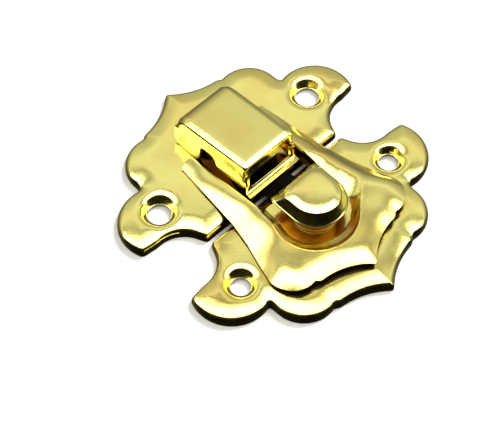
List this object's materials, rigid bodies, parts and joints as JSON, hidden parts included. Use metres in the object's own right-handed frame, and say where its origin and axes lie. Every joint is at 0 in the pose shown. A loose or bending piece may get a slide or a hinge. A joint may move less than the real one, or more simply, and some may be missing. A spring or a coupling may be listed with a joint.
{
  "type": "box latch",
  "caption": "Decorative pressed-brass box latch in two screw-on halves, with a hinged square hasp and a sliding button that locks it.",
  "frame": {"origin": "on the back plane, midway along the split between the two halves and on the latch's centre line", "axes": "+X along the latch from the lid half to the base half, +Y across it, +Z out of the face"},
  "size_m": [0.0478, 0.0446, 0.0092],
  "materials": {
    "plated_face": "polished pale brass plating",
    "plated_inner": "satin brass plating",
    "spring_steel": "dark oiled steel"
  },
  "bodies": {
    "root": {"lid_plate": "plated_face", "hinge_bracket": "plated_inner", "bracket_rivets": "plated_inner", "hinge_pin": "plated_inner", "base_plate": "plated_face", "cover": "plated_face", "strike_strip": "spring_steel", "strike_rivets": "spring_steel"},
    "hasp": {"hasp": "plated_face"},
    "button": {"slide_plate": "spring_steel", "friction_leaf": "spring_steel", "button_stem": "plated_inner", "slot_washer": "plated_inner", "button_cap": "plated_face"}
  },
  "joints": [
    {"name": "hasp_hinge", "type": "hinge", "parent": "root", "child": "hasp", "pos_m": [-0.0142, 0, 0.0039], "axis": [0, -1, 0], "range_deg": [0, 88]},
    {"name": "button_slide", "type": "slide", "parent": "root", "child": "button", "axis": [-1, 0, 0], "range_m": [0, 0.003]}
  ]
}
